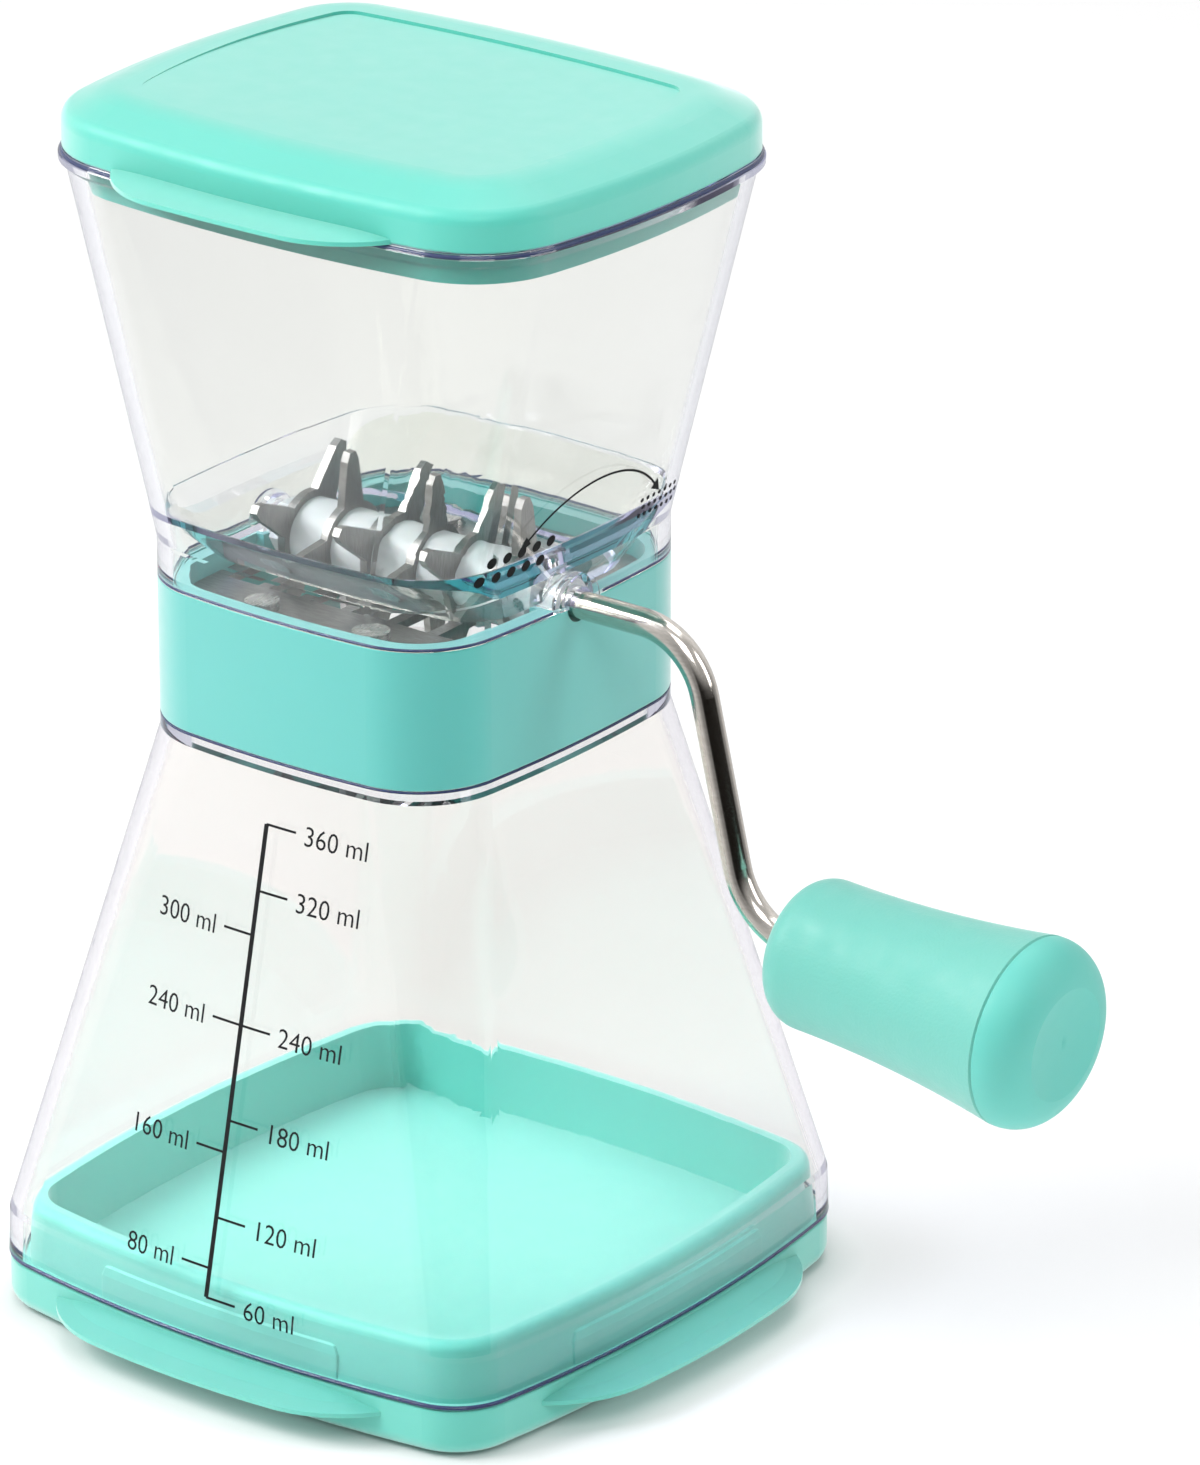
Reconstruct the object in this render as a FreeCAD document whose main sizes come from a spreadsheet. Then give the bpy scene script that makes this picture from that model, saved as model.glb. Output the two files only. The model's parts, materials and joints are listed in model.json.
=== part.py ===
import FreeCAD, Part

# Nut chopper: a clear hopper over a collar with a cranked rotor, a clear jar and a snap-in base tray.
# Millimetres, +Z up, +X towards the crank. The origin is the middle of the face that it stands on.

import math
import os
from enum import IntEnum

import Sketcher
from FreeCAD import Placement, Rotation, Vector

SIZES = {
    # bowed rectangles: half widths, corner radius and the radii of the bowed sides
    "base_half_x": 45.0,
    "base_half_y": 45.5,
    "base_corner": 9.6,
    "base_bow_x": 218.0,
    "base_bow_y": 210.0,
    "neck_half_x": 27.4,
    "neck_half_y": 29.8,
    "neck_corner": 12.7,
    "neck_bow_x": 215.0,
    "neck_bow_y": 167.0,
    "brim_half_x": 41.2,
    "brim_half_y": 34.0,
    "brim_corner": 14.3,
    "brim_bow_x": 124.0,
    "brim_bow_y": 219.0,
    # heights of the stacked housings
    "base_height": 7.2,
    "jar_height": 78.55,
    "collar_height": 19.35,
    "hopper_height": 57.3,
    "lid_height": 7.8,
    "seat_clearance": 0.35,
    # base tray
    "foot_thickness": 2.0,
    "foot_proud": 0.4,
    "foot_margin": 10.0,
    "foot_corner": 6.0,
    "base_edge_radius": 2.2,
    "base_step": 0.2,
    "base_rim_round": 0.4,
    "tray_floor": 6.0,
    "tray_draft": 0.6,
    "ring_height": 8.2,
    "ring_wall": 2.4,
    "ring_clearance": 0.6,
    "ring_corner_room": 2.0,
    "ring_edge_radius": 1.4,
    "grip_pad_half_width": 24.5,
    "grip_pad_height": 5.2,
    "grip_pad_slope": 1.8,
    "grip_pad_proud": 0.4,
    "grip_pad_round": 2.2,
    "base_tab_reach": 6.0,
    "base_tab_half_length": 34.3,
    "base_tab_corner": 18.0,
    "base_tab_bow": 150.0,
    "base_tab_edge": 0.6,
    "base_tab_drop": 2.1,
    # jar
    "jar_wall": 2.0,
    "jar_band": 6.8,
    "jar_band_draft": 0.25,
    "jar_shoulder": 1.95,
    "jar_shelf": 2.5,
    "jar_rim_bevel": 0.4,
    "spigot_height": 5.6,
    "spigot_wall": 1.8,
    # collar
    "collar_wall": 2.2,
    "collar_edge_radius": 0.3,
    "shelf_thickness": 2.0,
    "shelf_height": 7.85,
    # hopper
    "hopper_wall": 2.0,
    "neck_height": 5.4,
    "brim_bead_height": 2.2,
    "brim_bead_proud": 0.5,
    "brim_bead_round": 0.7,
    "funnel_rise": 9.9,
    "funnel_wall": 1.8,
    "funnel_step": 0.3,
    "funnel_lift": 0.8,
    "mouth_half_x": 21.8,
    "mouth_half_y": 15.2,
    "mouth_corner": 5.0,
    "mouth_bow": 300.0,
    "boss_radius": 4.1,
    "boss_proud": 0.3,
    # lid
    "lid_side": 5.0,
    "lid_slope": 6.4,
    "lid_edge_radius": 2.2,
    "lid_top_radius": 9.0,
    "lid_foot_radius": 0.4,
    "lid_skin": 2.2,
    "plug_depth": 4.6,
    "plug_wall": 2.0,
    "panel_half_x": 31.0,
    "panel_half_y": 22.9,
    "panel_corner": 3.5,
    "panel_bow_x": 85.0,
    "panel_bow_y": 270.0,
    "panel_depth": 0.25,
    "panel_tilt": 0.6,
    "lid_tab_reach": 6.2,
    "lid_tab_half_length": 25.4,
    "lid_tab_flare": 2.6,
    "lid_tab_corner": 15.4,
    "lid_tab_bow": 300.0,
    "lid_tab_edge": 0.6,
    "lid_tab_rise": 0.6,
    # frame inside the collar
    "frame_clearance": 0.15,
    "frame_wall": 2.0,
    "throat_half_x": 21.8,
    "throat_half_y": 14.6,
    "throat_corner": 3.0,
    "throat_bow": 400.0,
    "comb_drop": 4.1,
    "bearing_half_width": 4.5,
    # combs
    "comb_thickness": 1.2,
    "comb_gap": 0.25,
    "comb_tip": 5.0,
    "comb_root": 13.8,
    "coarse_finger": 1.8,
    "fine_finger": 1.4,
    "coarse_side_gap": 2.0,
    "fine_side_gap": 1.0,
    # rotor
    "plate_count": 6,
    "plate_pitch": 7.0,
    "plate_thickness": 1.2,
    "rotor_radius": 13.0,
    "tine_root_width": 5.0,
    "tine_tip_width": 2.4,
    "plate_disc_radius": 6.0,
    "tine_count": 4,
    "hub_across_flats": 7.0,
    "spacer_radius": 5.0,
    "flange_radius": 4.9,
    "flange_length": 3.1,
    "hub_spigot_radius": 3.2,
    "hub_spigot_length": 2.9,
    "nut_across_flats": 8.6,
    "nut_length": 2.4,
    "drive_pin_radius": 0.8,
    # shaft, bushes and clip
    "rod_radius": 1.9,
    "rod_room": 0.5,
    "bush_radius": 3.2,
    "front_bush_length": 2.9,
    "rear_bush_length": 1.9,
    "bush_play": 0.05,
    "clip_gap": 0.1,
    "clip_thickness": 0.6,
    "clip_groove_radius": 1.5,
    "clip_radius": 3.0,
    "clip_slot": 2.4,
    "shaft_tail": 0.3,
    # crank
    "crank_corner_x": 46.1,
    "crank_lean": 13.5,
    "crank_arm": 39.7,
    "crank_bend": 10.4,
    "handle_bend": 11.2,
    "handle_tilt": 3.3,
    # grip
    "grip_start": 7.8,
    "grip_length": 36.7,
    "grip_inner_radius": 10.2,
    "grip_inner_round": 4.1,
    "grip_outer_radius": 12.8,
    "grip_waist_bow": 195.0,
    "grip_play": 0.06,
    "grip_seam_bevel": 0.25,
    "grip_counterbore": 9.4,
    "grip_counterbore_depth": 8.0,
    "cap_crest": 5.9,
    "cap_crest_radius": 7.6,
    "cap_edge_radius": 5.6,
    "cap_dish_radius": 48.0,
    "cap_plug_length": 5.2,
    "retainer_radius": 4.2,
    "retainer_thickness": 0.8,
    "retainer_gap": 0.3,
    "pin_tail": 0.7,
    # screws
    "screw_radius": 1.2,
    "screw_hole_play": 0.3,
    "screw_head_radius": 2.3,
    "screw_head_height": 1.3,
    "screw_bite": 3.4,
    "comb_screw_x": 9.0,
    "comb_screw_y": 20.0,
    "frame_screw_x": 15.0,
    "frame_screw_y": 20.5,
}


class Size:
    """A number, kept together with the sheet expression that gives it."""

    def __init__(self, value, text):
        self.value = value
        self.text = text

    def combine(self, other, sign, value):
        return Size(value, "(%s %s %s)" % (self.text, sign, sized(other).text))

    def __add__(self, other):
        return self.combine(other, "+", self.value + sized(other).value)

    def __sub__(self, other):
        return self.combine(other, "-", self.value - sized(other).value)

    def __mul__(self, other):
        return self.combine(other, "*", self.value * sized(other).value)

    def __truediv__(self, other):
        return self.combine(other, "/", self.value / sized(other).value)

    def __radd__(self, other):
        return sized(other) + self

    def __rsub__(self, other):
        return sized(other) - self

    def __rmul__(self, other):
        return sized(other) * self

    def __neg__(self):
        return sized(0) - self


def sized(number):
    return number if isinstance(number, Size) else Size(number, repr(number))


def sine(angle):
    return Size(math.sin(math.radians(angle.value)), "sin(%s)" % angle.text)


def cosine(angle):
    return Size(math.cos(math.radians(angle.value)), "cos(%s)" % angle.text)


def square_root(number):
    return Size(math.sqrt(number.value), "sqrt(%s)" % number.text)


def tangent(angle):
    return Size(math.tan(math.radians(angle.value)), "tan(%s)" % angle.text)


class Sheet:
    """The spreadsheet of driving sizes. An alias read from it comes back as a Size."""

    def __init__(self, doc, sizes):
        self.sizes = sizes
        self.page = doc.addObject("Spreadsheet::Sheet", "Sizes")
        for row, (alias, number) in enumerate(sizes.items(), start=1):
            self.page.set("A%d" % row, alias)
            self.page.set("B%d" % row, str(number))
            self.page.setAlias("B%d" % row, alias)
        doc.recompute()

    def __getattr__(self, alias):
        return Size(self.sizes[alias], "Sizes." + alias)


class Outline:
    """A rectangle with bowed sides and round corners: eight arcs, each tangent to the next."""

    def __init__(self, half_x, half_y, corner, bow_x, bow_y):
        self.half_x = half_x
        self.half_y = half_y
        self.corner = corner
        self.bow_x = bow_x
        self.bow_y = bow_y

    def inset(self, gap):
        return Outline(
            self.half_x - gap, self.half_y - gap, self.corner - gap, self.bow_x - gap, self.bow_y - gap
        )

    def rounder(self, extra):
        return Outline(self.half_x, self.half_y, self.corner + extra, self.bow_x, self.bow_y)

    def towards(self, other, share):
        """The section at a share of the way along the straight-sided loft to the other outline."""
        return Outline(
            self.half_x + (other.half_x - self.half_x) * share,
            self.half_y + (other.half_y - self.half_y) * share,
            self.corner + (other.corner - self.corner) * share,
            self.bow_x + (other.bow_x - self.bow_x) * share,
            self.bow_y + (other.bow_y - self.bow_y) * share,
        )


doc = FreeCAD.newDocument("NutChopper")
size = Sheet(doc, SIZES)

# Levels above the table, from the foot to the lid
rim_level = size.base_height
band_level = rim_level + size.jar_band
collar_level = rim_level + size.jar_height
shoulder_level = collar_level - size.jar_shoulder
shelf_level = collar_level + size.shelf_height + size.shelf_thickness
shaft_level = collar_level + size.collar_height
flare_level = shaft_level + size.neck_height
brim_level = shaft_level + size.hopper_height
lid_level = brim_level + size.lid_height
comb_level = shaft_level - size.comb_drop
plug_level = brim_level - size.plug_depth

base_outline = Outline(size.base_half_x, size.base_half_y, size.base_corner, size.base_bow_x, size.base_bow_y)
neck_outline = Outline(size.neck_half_x, size.neck_half_y, size.neck_corner, size.neck_bow_x, size.neck_bow_y)
brim_outline = Outline(size.brim_half_x, size.brim_half_y, size.brim_corner, size.brim_bow_x, size.brim_bow_y)
band_outline = base_outline.inset(size.jar_band_draft)
foot_outline = Outline(
    size.base_half_x - size.foot_margin,
    size.base_half_y - size.foot_margin,
    size.foot_corner,
    size.base_bow_x,
    size.base_bow_y,
)
mouth_outline = Outline(
    size.mouth_half_x, size.mouth_half_y, size.mouth_corner, size.mouth_bow, size.mouth_bow
)
throat_outline = Outline(
    size.throat_half_x, size.throat_half_y, size.throat_corner, size.throat_bow, size.throat_bow
)
frame_outline = neck_outline.inset(size.collar_wall + size.frame_clearance)

# Places along the shaft
rotor_half = size.plate_pitch * (size.plate_count - 1) / 2 + size.plate_thickness / 2
bush_face = size.throat_half_x
clip_face = bush_face + size.rear_bush_length + size.clip_gap
shaft_end = clip_face + size.clip_thickness + size.shaft_tail

# The crank's path in the plane of the shaft and the handle, measured from the shaft's axis
crank_turn = 90 - size.crank_lean
handle_turn = crank_turn - size.handle_tilt
arm_x = sine(size.crank_lean)
arm_z = -cosine(size.crank_lean)
handle_x = cosine(size.handle_tilt)
handle_z = -sine(size.handle_tilt)
handle_corner_x = size.crank_corner_x + size.crank_arm * arm_x
handle_corner_z = size.crank_arm * arm_z
retainer_place = size.grip_length - size.grip_counterbore_depth + size.retainer_gap
pin_end = size.grip_start + retainer_place + size.retainer_thickness + size.pin_tail

parts = []


def jar_section(level):
    return band_outline.towards(neck_outline, (level - band_level) / (shoulder_level - band_level))


def hopper_section(level):
    return neck_outline.towards(brim_outline, (level - flare_level) / (brim_level - flare_level))


def bind(thing, **sizes):
    for name, number in sizes.items():
        number = sized(number)
        setattr(thing, name, number.value)
        thing.setExpression(name, number.text)


def place(thing, x=0, y=0, z=0, rotation=None):
    """Put a part at a place that follows the sheet."""
    x, y, z = sized(x), sized(y), sized(z)
    thing.Placement = Placement(Vector(x.value, y.value, z.value), rotation or Rotation())
    for axis, number in (("x", x), ("y", y), ("z", z)):
        thing.setExpression("Placement.Base." + axis, number.text)


def new_body(name):
    body = doc.addObject("PartDesign::Body", name)
    body.Label = name
    parts.append(body)
    return body


def origin_part(body, role):
    return next(item for item in body.Origin.OriginFeatures if item.Role == role)


def new_sketch(body, name, plane="XY_Plane", level=0, shift=0, tilt=None):
    """A sketch parallel to one of the body's planes, at a level along its normal."""
    level, shift = sized(level), sized(shift)
    sketch = body.newObject("Sketcher::SketchObject", name)
    sketch.AttachmentSupport = [(origin_part(body, plane), "")]
    sketch.MapMode = "FlatFace"
    turn = Rotation(Vector(1, 0, 0), tilt.value) if tilt else Rotation()
    sketch.AttachmentOffset = Placement(Vector(0, shift.value, level.value), turn)
    sketch.setExpression("AttachmentOffset.Base.y", shift.text)
    sketch.setExpression("AttachmentOffset.Base.z", level.text)
    return sketch


class Drawing:
    """The edges, ties and sizes of one sketch, added together when it is finished."""

    def __init__(self, sketch):
        self.sketch = sketch
        self.edges = []
        self.ties = []
        self.sizes = []

    def edge(self, shape):
        self.edges.append(shape)
        return len(self.edges) - 1

    def tie(self, kind, *places):
        self.ties.append(Sketcher.Constraint(kind, *places))

    def measure(self, kind, *places):
        *where, number = places
        number = sized(number)
        self.sizes.append((Sketcher.Constraint(kind, *where, number.value), number.text))

    def finish(self):
        first = len(self.ties)
        self.sketch.addGeometry(self.edges, False)
        self.sketch.addConstraint(self.ties + [constraint for constraint, text in self.sizes])
        for count, (constraint, text) in enumerate(self.sizes):
            self.sketch.setExpression("Constraints[%d]" % (first + count), text)
        return self.sketch


class At(IntEnum):
    """The places on a sketch's edge that a tie may name."""

    START = 1
    END = 2
    CENTRE = 3


class Axis(IntEnum):
    """A sketch's own axes."""

    ACROSS = -1
    UPRIGHT = -2


def arc(centre, radius, first, last):
    return Part.ArcOfCircle(Part.Circle(Vector(*centre, 0), Vector(0, 0, 1), radius), first, last)


def draw_outline(sketch, outline):
    """Draw the eight arcs anticlockwise from the +X side, each tied to the next."""
    half_x, half_y = outline.half_x.value, outline.half_y.value
    round_, bow_x, bow_y = outline.corner.value, outline.bow_x.value, outline.bow_y.value
    side_x, side_y = half_x - bow_x, half_y - bow_y
    reach_x, reach_y = bow_x - round_, bow_y - round_
    gap = math.hypot(side_x, side_y)
    along = (reach_x ** 2 - reach_y ** 2 + gap ** 2) / (2 * gap)
    off = math.sqrt(reach_x ** 2 - along ** 2)
    corner_x = side_x - side_x * along / gap - side_y * off / gap
    corner_y = side_y * along / gap - side_x * off / gap
    low = math.atan2(corner_y, corner_x - side_x)
    high = math.atan2(corner_y - side_y, corner_x)
    drawing = Drawing(sketch)
    half_turn = math.pi
    drawing.edge(arc((side_x, 0), bow_x, -low, low))
    drawing.edge(arc((corner_x, corner_y), round_, low, high))
    drawing.edge(arc((0, side_y), bow_y, high, half_turn - high))
    drawing.edge(arc((-corner_x, corner_y), round_, half_turn - high, half_turn - low))
    drawing.edge(arc((-side_x, 0), bow_x, half_turn - low, half_turn + low))
    drawing.edge(arc((-corner_x, -corner_y), round_, half_turn + low, half_turn + high))
    drawing.edge(arc((0, -side_y), bow_y, half_turn + high, 2 * half_turn - high))
    drawing.edge(arc((corner_x, -corner_y), round_, -high, -low))
    for edge in range(8):
        drawing.tie("Tangent", edge, At.END, (edge + 1) % 8, At.START)
    for edge, axis in ((0, Axis.ACROSS), (2, Axis.UPRIGHT), (4, Axis.ACROSS), (6, Axis.UPRIGHT)):
        drawing.tie("PointOnObject", edge, At.CENTRE, axis)
    drawing.measure("DistanceX", 0, At.CENTRE, outline.half_x - outline.bow_x)
    drawing.measure("DistanceY", 2, At.CENTRE, outline.half_y - outline.bow_y)
    drawing.measure("DistanceX", 4, At.CENTRE, outline.bow_x - outline.half_x)
    drawing.measure("DistanceY", 6, At.CENTRE, outline.bow_y - outline.half_y)
    for edge, radius in ((0, outline.bow_x), (2, outline.bow_y), (4, outline.bow_x), (6, outline.bow_y)):
        drawing.measure("Radius", edge, radius)
    for edge in (1, 3, 5, 7):
        drawing.measure("Radius", edge, outline.corner)
    return drawing.finish()


def arc_between(start, end, radius, turn):
    """The shorter arc from start to end. turn is 1 for anticlockwise and -1 for clockwise."""
    chord = end - start
    across = Vector(-chord.y, chord.x, 0).normalize() * turn
    centre = (start + end) * 0.5 + across * math.sqrt(radius ** 2 - (chord.Length / 2) ** 2)
    first, last = (start, end) if turn > 0 else (end, start)
    angles = [math.atan2(point.y - centre.y, point.x - centre.x) for point in (first, last)]
    if angles[1] < angles[0]:
        angles[1] += 2 * math.pi
    return arc((centre.x, centre.y), radius, *angles)


def draw_path(sketch, corners, bends=None, closed=True):
    """Join corners, each a pair of sizes. bends[n] is the radius and turn of the arc that leaves corner n."""
    bends = bends or {}
    corners = [(sized(x), sized(y)) for x, y in corners]
    points = [Vector(x.value, y.value, 0) for x, y in corners]
    last = len(points) if closed else len(points) - 1
    drawing = Drawing(sketch)
    ends = []
    for count in range(last):
        start, end = points[count], points[(count + 1) % len(points)]
        if count in bends:
            radius, turn = bends[count]
            drawing.edge(arc_between(start, end, radius.value, turn))
            ends.append((At.START, At.END) if turn > 0 else (At.END, At.START))
        else:
            drawing.edge(Part.LineSegment(start, end))
            ends.append((At.START, At.END))
    for count in range(last if closed else last - 1):
        after = (count + 1) % last
        drawing.tie("Coincident", count, ends[count][1], after, ends[after][0])
    for count, (x, y) in enumerate(corners):
        edge, end = (count, ends[count][0]) if count < last else (last - 1, ends[last - 1][1])
        drawing.measure("DistanceX", edge, end, x)
        drawing.measure("DistanceY", edge, end, y)
    for count, (radius, turn) in bends.items():
        drawing.measure("Radius", count, radius)
    return drawing.finish()


def draw_circle(sketch, x, y, radius):
    x, y, radius = sized(x), sized(y), sized(radius)
    drawing = Drawing(sketch)
    drawing.edge(Part.Circle(Vector(x.value, y.value, 0), Vector(0, 0, 1), radius.value))
    drawing.measure("DistanceX", 0, At.CENTRE, x)
    drawing.measure("DistanceY", 0, At.CENTRE, y)
    drawing.measure("Radius", 0, radius)
    return drawing.finish()


def draw_circles(sketch, places, radius):
    drawing = Drawing(sketch)
    for count, (x, y) in enumerate(places):
        x, y = sized(x), sized(y)
        drawing.edge(Part.Circle(Vector(x.value, y.value, 0), Vector(0, 0, 1), radius.value))
        drawing.measure("DistanceX", count, At.CENTRE, x)
        drawing.measure("DistanceY", count, At.CENTRE, y)
        drawing.measure("Radius", count, radius)
    return drawing.finish()


def draw_hexagon(sketch, across_flats):
    """A hexagon round the sketch's origin with two corners on its first axis."""
    half = across_flats / 2
    side = across_flats / math.sqrt(3)
    right, left = side / 2, -side / 2
    corners = [(side, 0), (right, half), (left, half), (-side, 0), (left, -half), (right, -half)]
    return draw_path(sketch, corners)


def outline_sketch(body, name, outline, level, shift=0):
    return draw_outline(new_sketch(body, name, level=level, shift=shift), outline)


def loft(body, name, sections, cut=False):
    """A straight-sided loft through outlines, each given with its level and, off centre, its shift."""
    sketches = [
        outline_sketch(body, "%s_section_%d" % (name, count), outline, level, *shift)
        for count, (level, outline, *shift) in enumerate(sections)
    ]
    kind = "PartDesign::SubtractiveLoft" if cut else "PartDesign::AdditiveLoft"
    feature = body.newObject(kind, name)
    feature.Profile = sketches[0]
    feature.Sections = sketches[1:]
    feature.Ruled = True
    return feature


def extrude(body, name, sketch, length, cut=False, reverse=False):
    """A pad runs along the sketch's normal and a pocket against it, unless reversed."""
    feature = body.newObject("PartDesign::Pocket" if cut else "PartDesign::Pad", name)
    feature.Profile = sketch
    bind(feature, Length=length)
    feature.Reversed = reverse
    return feature


def revolve(body, name, sketch, cut=False):
    feature = body.newObject("PartDesign::Groove" if cut else "PartDesign::Revolution", name)
    feature.Profile = sketch
    feature.ReferenceAxis = (origin_part(body, "X_Axis"), [""])
    feature.Angle = 360
    return feature


def level_edges(feature, level):
    """The names of the edges of a feature that lie flat at one level."""
    names = []
    for count, edge in enumerate(feature.Shape.Edges, start=1):
        box = edge.BoundBox
        if abs(box.ZMin - level.value) < 0.01 and abs(box.ZMax - level.value) < 0.01:
            names.append("Edge%d" % count)
    return names


def fillet(body, name, base, level, radius):
    doc.recompute()
    feature = body.newObject("PartDesign::Fillet", name)
    feature.Base = (base, level_edges(base, level))
    bind(feature, Radius=radius)
    return feature


def chamfer(body, name, base, level, drop, run):
    """Slope the face above an edge: drop is measured down from the level and run inwards."""
    doc.recompute()
    feature = body.newObject("PartDesign::Chamfer", name)
    feature.Base = (base, level_edges(base, level))
    feature.ChamferType = "Two distances"
    bind(feature, Size=drop, Size2=run)
    return feature


# Base tray and its foot


def make_foot_pad():
    body = new_body("foot_pad")
    sketch = outline_sketch(body, "pad_outline", foot_outline, sized(0))
    extrude(body, "foot_slab", sketch, size.foot_thickness)


def swap_axes(outline):
    return Outline(outline.half_y, outline.half_x, outline.corner, outline.bow_y, outline.bow_x)


def add_base_tabs(body):
    """Two bars across the base, whose four ends are the lift tabs: a thin lip under a hollow slope."""
    lip_top = rim_level - size.base_tab_drop
    hollow = lip_top + size.base_tab_drop / 4
    tab_top = rim_level - size.base_rim_round
    steps = [
        (lip_top - size.base_tab_edge, size.base_tab_reach),
        (lip_top, size.base_tab_reach),
        (hollow, size.base_tab_reach / 2),
        (tab_top, -size.base_step * 2),
    ]
    for name, start, turned in (("front", size.base_half_y, False), ("side", size.base_half_x, True)):
        sections = []
        for level, reach in steps:
            half = size.base_tab_half_length
            bar = Outline(half, start + reach, size.base_tab_corner, size.base_bow_x, size.base_tab_bow)
            sections.append((level, swap_axes(bar) if turned else bar))
        loft(body, name + "_tabs", sections)


def add_grip_pads(body, ring_foot):
    """Raised pads in the middle of the plug ring's four sides, sloping back at their round-cornered tops."""
    top = rim_level + size.grip_pad_height
    slope = top - size.grip_pad_slope
    round_ = size.grip_pad_round
    steps = [
        (rim_level, 0, size.grip_pad_proud),
        (slope, 0, size.grip_pad_proud),
        ((slope + top * 2) / 3, round_ / 4, size.grip_pad_proud / 2),
        (top, round_, -size.grip_pad_proud),
    ]
    for name, turned, half, bow in (
        ("front", False, ring_foot.half_y, ring_foot.bow_y),
        ("side", True, ring_foot.half_x, ring_foot.bow_x),
    ):
        sections = []
        for level, short, proud in steps:
            pad = Outline(size.grip_pad_half_width - short, half + proud, size.base_step, bow, bow)
            sections.append((level, swap_axes(pad) if turned else pad))
        loft(body, name + "_pads", sections)


def make_base_cap():
    body = new_body("base_cap")
    skirt_outline = base_outline.inset(size.base_step)
    skirt = outline_sketch(body, "skirt_outline", skirt_outline, size.foot_proud)
    slab = extrude(body, "skirt", skirt, rim_level - size.foot_proud)
    edge = fillet(body, "skirt_edge", slab, size.foot_proud, size.base_edge_radius)
    fillet(body, "skirt_rim", edge, rim_level, size.base_rim_round)
    add_base_tabs(body)
    fit = size.jar_wall + size.ring_clearance
    ring_level = rim_level + size.ring_height
    ring_foot = base_outline.inset(fit).rounder(size.ring_corner_room)
    ring_top = jar_section(ring_level).inset(fit).rounder(size.ring_corner_room)
    ring = loft(body, "plug_ring", [(rim_level, ring_foot), (ring_level, ring_top)])
    fillet(body, "ring_edge", ring, ring_level, size.ring_edge_radius)
    add_grip_pads(body, ring_foot.inset(size.jar_band_draft))
    tray_top = ring_top.inset(size.ring_wall)
    tray = [(size.tray_floor, tray_top.inset(size.tray_draft)), (ring_level, tray_top)]
    loft(body, "tray", tray, cut=True)
    recess = outline_sketch(body, "foot_recess_outline", foot_outline, size.foot_proud)
    extrude(body, "foot_recess", recess, size.foot_thickness - size.foot_proud, cut=True, reverse=True)


# Clear jar


def make_jar():
    body = new_body("jar")
    outside = [
        (rim_level, base_outline.inset(size.jar_rim_bevel)),
        (rim_level + size.jar_rim_bevel, base_outline),
        (band_level, band_outline),
        (shoulder_level, neck_outline),
    ]
    loft(body, "outside", outside)
    shoulder = outline_sketch(body, "shoulder_outline", neck_outline, shoulder_level)
    extrude(body, "shoulder", shoulder, size.jar_shoulder)
    spigot_outline = neck_outline.inset(size.collar_wall + size.seat_clearance)
    spigot = outline_sketch(body, "spigot_outline", spigot_outline, collar_level)
    extrude(body, "spigot", spigot, size.spigot_height)
    inner_top = collar_level - size.jar_shelf
    inside = [
        (rim_level, base_outline.inset(size.jar_wall)),
        (band_level, band_outline.inset(size.jar_wall)),
        (inner_top, jar_section(inner_top).inset(size.jar_wall)),
    ]
    loft(body, "inside", inside, cut=True)
    bore = outline_sketch(
        body, "bore_outline", spigot_outline.inset(size.spigot_wall), collar_level + size.spigot_height
    )
    extrude(body, "bore", bore, size.spigot_height + size.jar_shelf + size.seat_clearance, cut=True)


# Collar, grinder frame and combs


def screw_places(x, y):
    return [(x * side, y * end) for side in (-1, 1) for end in (-1, 1)]


def rod_way_circle(body, name):
    """The circle that a wall is opened to, for the rod to pass through with room to spare."""
    return draw_circle(new_sketch(body, name, "YZ_Plane"), 0, shaft_level, size.rod_radius + size.rod_room)


def make_collar():
    body = new_body("collar")
    wall = outline_sketch(body, "wall_outline", neck_outline, collar_level)
    ring = extrude(body, "wall", wall, size.collar_height)
    lower_edge = fillet(body, "lower_edge", ring, collar_level, size.collar_edge_radius)
    fillet(body, "upper_edge", lower_edge, shaft_level, size.collar_edge_radius)
    inner = neck_outline.inset(size.collar_wall)
    lower = outline_sketch(body, "jar_socket_outline", inner, collar_level)
    extrude(body, "jar_socket", lower, size.shelf_height, cut=True, reverse=True)
    upper = outline_sketch(body, "frame_socket_outline", inner, shaft_level)
    extrude(body, "frame_socket", upper, shaft_level - shelf_level, cut=True)
    throat = outline_sketch(body, "shelf_opening_outline", throat_outline, shelf_level)
    extrude(body, "shelf_opening", throat, size.shelf_thickness, cut=True)
    notch = rod_way_circle(body, "rod_notch_circle")
    extrude(body, "rod_notch", notch, neck_outline.half_x + size.rod_radius, cut=True, reverse=True)
    holes = new_sketch(body, "screw_hole_circles", level=shelf_level)
    places = screw_places(size.frame_screw_x, size.frame_screw_y)
    draw_circles(holes, places, size.screw_radius + size.screw_hole_play)
    extrude(body, "screw_holes", holes, size.shelf_thickness, cut=True)


def add_bearing_block(body, name, side):
    """A block inside the end wall that carries a bush, up to the shaft's axis."""
    inner, outer = bush_face * side, (frame_outline.half_x - size.frame_wall / 2) * side
    half = size.bearing_half_width
    corners = [(inner, -half), (outer, -half), (outer, half), (inner, half)]
    sketch = draw_path(new_sketch(body, name + "_outline", level=comb_level), corners)
    extrude(body, name, sketch, size.comb_drop - size.frame_clearance)


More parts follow.
